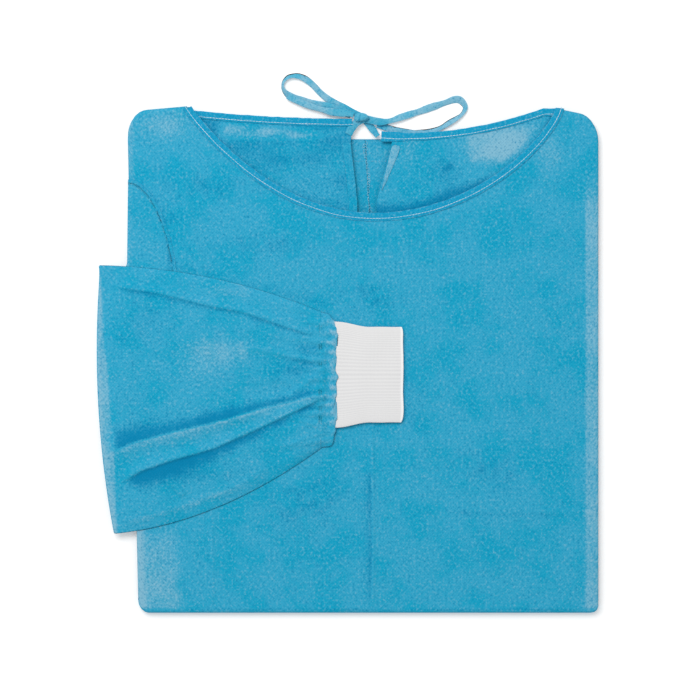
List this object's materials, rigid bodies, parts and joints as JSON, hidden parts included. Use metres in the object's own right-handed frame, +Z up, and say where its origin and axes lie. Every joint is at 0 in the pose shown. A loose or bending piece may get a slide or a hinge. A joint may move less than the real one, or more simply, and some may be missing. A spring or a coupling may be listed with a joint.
{
  "type": "patient gown",
  "caption": "disposable gown of blue non-woven cloth folded flat, with a bound neckline, a tape bow behind the neck, and a sleeve with a white knitted cuff laid over the front",
  "frame": {"origin": "centre of the folded gown's outline, on the face that rests on the table", "axes": "+X to the right across the shoulders, +Y from the bottom fold to the neck, +Z up away from the table, front side of the gown up"},
  "size_m": [0.5287, 0.5695, 0.0141],
  "materials": {
    "cloth": "cyan-blue spunbond non-woven cloth with a fine embossed bond pattern, matte",
    "binding": "folded strip of the same non-woven cloth, two plies, matte",
    "tape": "narrow folded tape of the same non-woven cloth, matte",
    "thread": "white polyester sewing thread, slight sheen",
    "knit": "white ribbed knit of the cuffs, matte"
  },
  "bodies": {
    "lower_half": {"front_panel_lower": "cloth", "back_panel_left_lower": "cloth", "back_panel_right_lower": "cloth", "skirt_edge_stitching": "thread", "hem_stitching": "thread"},
    "upper_half": {"back_panel_left_upper": "cloth", "back_panel_right_upper": "cloth", "back_facing_left": "cloth", "back_facing_right": "cloth", "neck_binding_back_left": "binding", "neck_binding_back_right": "binding", "neck_stitching_back_left": "thread", "neck_stitching_back_right": "thread", "front_panel_upper": "cloth", "neck_binding_front": "binding", "neck_stitching_front": "thread", "shoulder_seam_left": "cloth", "shoulder_seam_right": "cloth", "armhole_seam_left": "cloth", "left_sleeve_root": "cloth", "armhole_seam_right": "cloth", "right_sleeve": "cloth", "right_wrist_seam": "binding", "right_cuff": "knit", "neck_tie_left": "tape", "neck_tie_right": "tape", "tie_tail": "tape", "bow_knot": "tape"},
    "sleeve": {"left_sleeve": "cloth", "left_wrist_seam": "binding"},
    "cuff": {"left_cuff": "knit"}
  },
  "joints": [
    {"name": "body_unfold", "type": "hinge", "parent": "lower_half", "child": "upper_half", "pos_m": [0, -0.267, 0.008], "axis": [1, 0, 0], "range_deg": [0, 180]},
    {"name": "sleeve_unfold", "type": "hinge", "parent": "upper_half", "child": "sleeve", "pos_m": [-0.2645, -0.042, 0.0103], "axis": [0, -1, 0], "range_deg": [0, 180]},
    {"name": "cuff_fold", "type": "hinge", "parent": "sleeve", "child": "cuff", "pos_m": [-0.0124, -0.016, 0.0143], "axis": [0, -1, 0], "range_deg": [0, 150]}
  ]
}
